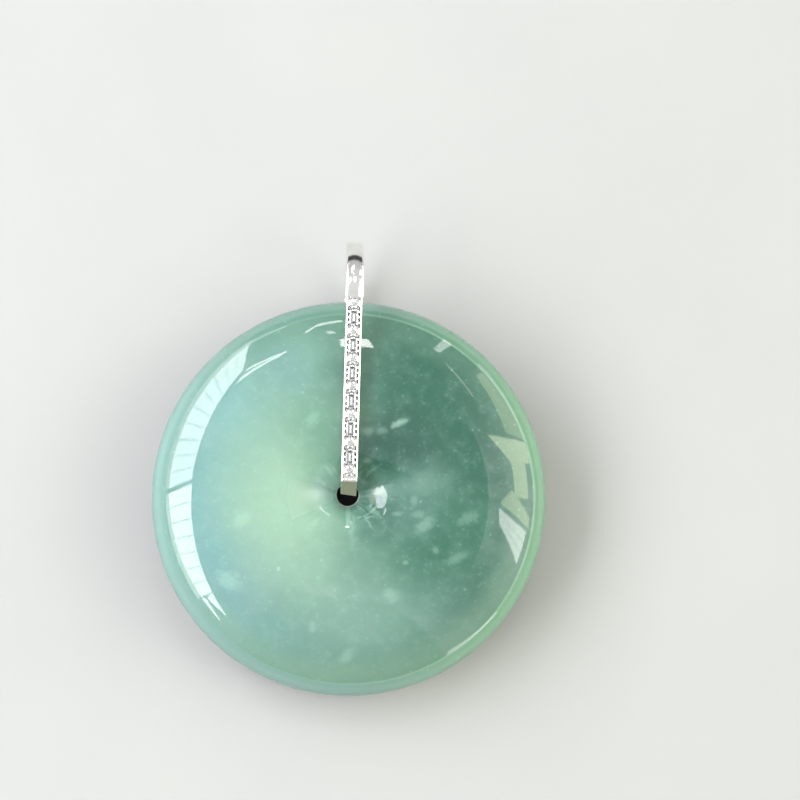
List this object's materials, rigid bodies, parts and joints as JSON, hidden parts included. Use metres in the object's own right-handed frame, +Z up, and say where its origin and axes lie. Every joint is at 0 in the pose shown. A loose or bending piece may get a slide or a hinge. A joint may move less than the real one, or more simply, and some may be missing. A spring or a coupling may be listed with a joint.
{
  "type": "jade donut pendant",
  "caption": "Polished pale green jade disc with a tiny central bore, on a closed narrow white-gold loop whose straight front bar is set with small clear stones.",
  "frame": {"origin": "middle of the footprint, on the surface that the pendant lies on", "axes": "+Z up, out of the pendant's front as it lies; +Y along the loop, from the bore towards the bend that a chain passes through; +X to the right seen from the front"},
  "size_m": [0.03, 0.0346, 0.0095],
  "materials": {
    "jade": "polished",
    "white_gold": "polished",
    "clear_stone": "polished"
  },
  "bodies": {
    "root": {"jade_disc": "jade", "bail": "white_gold", "round_stone_1": "clear_stone", "round_stone_2": "clear_stone", "round_stone_3": "clear_stone", "round_stone_4": "clear_stone", "round_stone_5": "clear_stone", "round_stone_6": "clear_stone", "round_stone_7": "clear_stone", "long_stone_1": "clear_stone", "long_stone_2": "clear_stone", "long_stone_3": "clear_stone", "long_stone_4": "clear_stone", "long_stone_5": "clear_stone", "long_stone_6": "clear_stone"}
  },
  "joints": []
}
